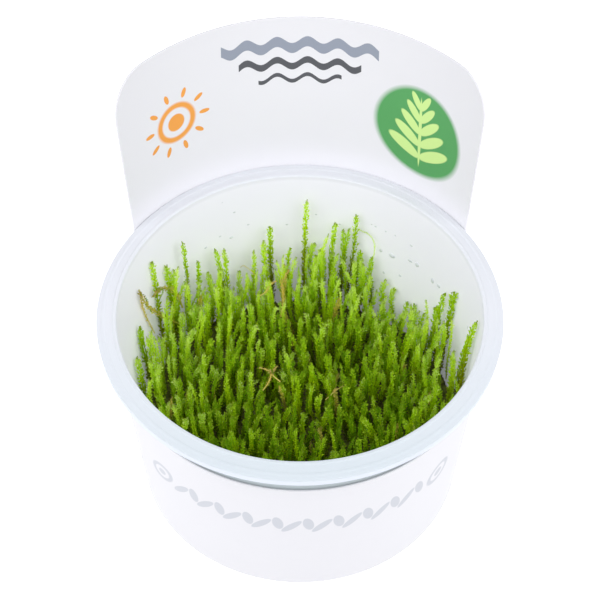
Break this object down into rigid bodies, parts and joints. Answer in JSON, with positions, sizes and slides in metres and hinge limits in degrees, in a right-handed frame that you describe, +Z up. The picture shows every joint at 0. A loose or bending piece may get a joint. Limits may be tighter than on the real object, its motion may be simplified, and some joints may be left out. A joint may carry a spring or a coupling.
{
  "type": "flame moss in a tissue-culture cup",
  "caption": "Round snap-rim plastic cup with a card sleeve that rises at the back as a sign panel, holding upright aquarium moss on nutrient gel.",
  "frame": {"origin": "centre of the cup's flat underside", "axes": "+Z up out of the cup's opening, -Y towards the front, +Y towards the sign panel at the back"},
  "size_m": [0.1, 0.1091, 0.102],
  "materials": {
    "frosted_plastic": "milky translucent polypropylene, satin moulded",
    "printed_card": null,
    "nutrient_gel": "clear to milky wet agar gel",
    "moss": "moist living leaf, yellow-green tips over dark green stems"
  },
  "bodies": {
    "root": {"cup": "frosted_plastic", "card_sleeve": "printed_card", "nutrient_gel": "nutrient_gel", "moss": "moss"}
  },
  "joints": []
}
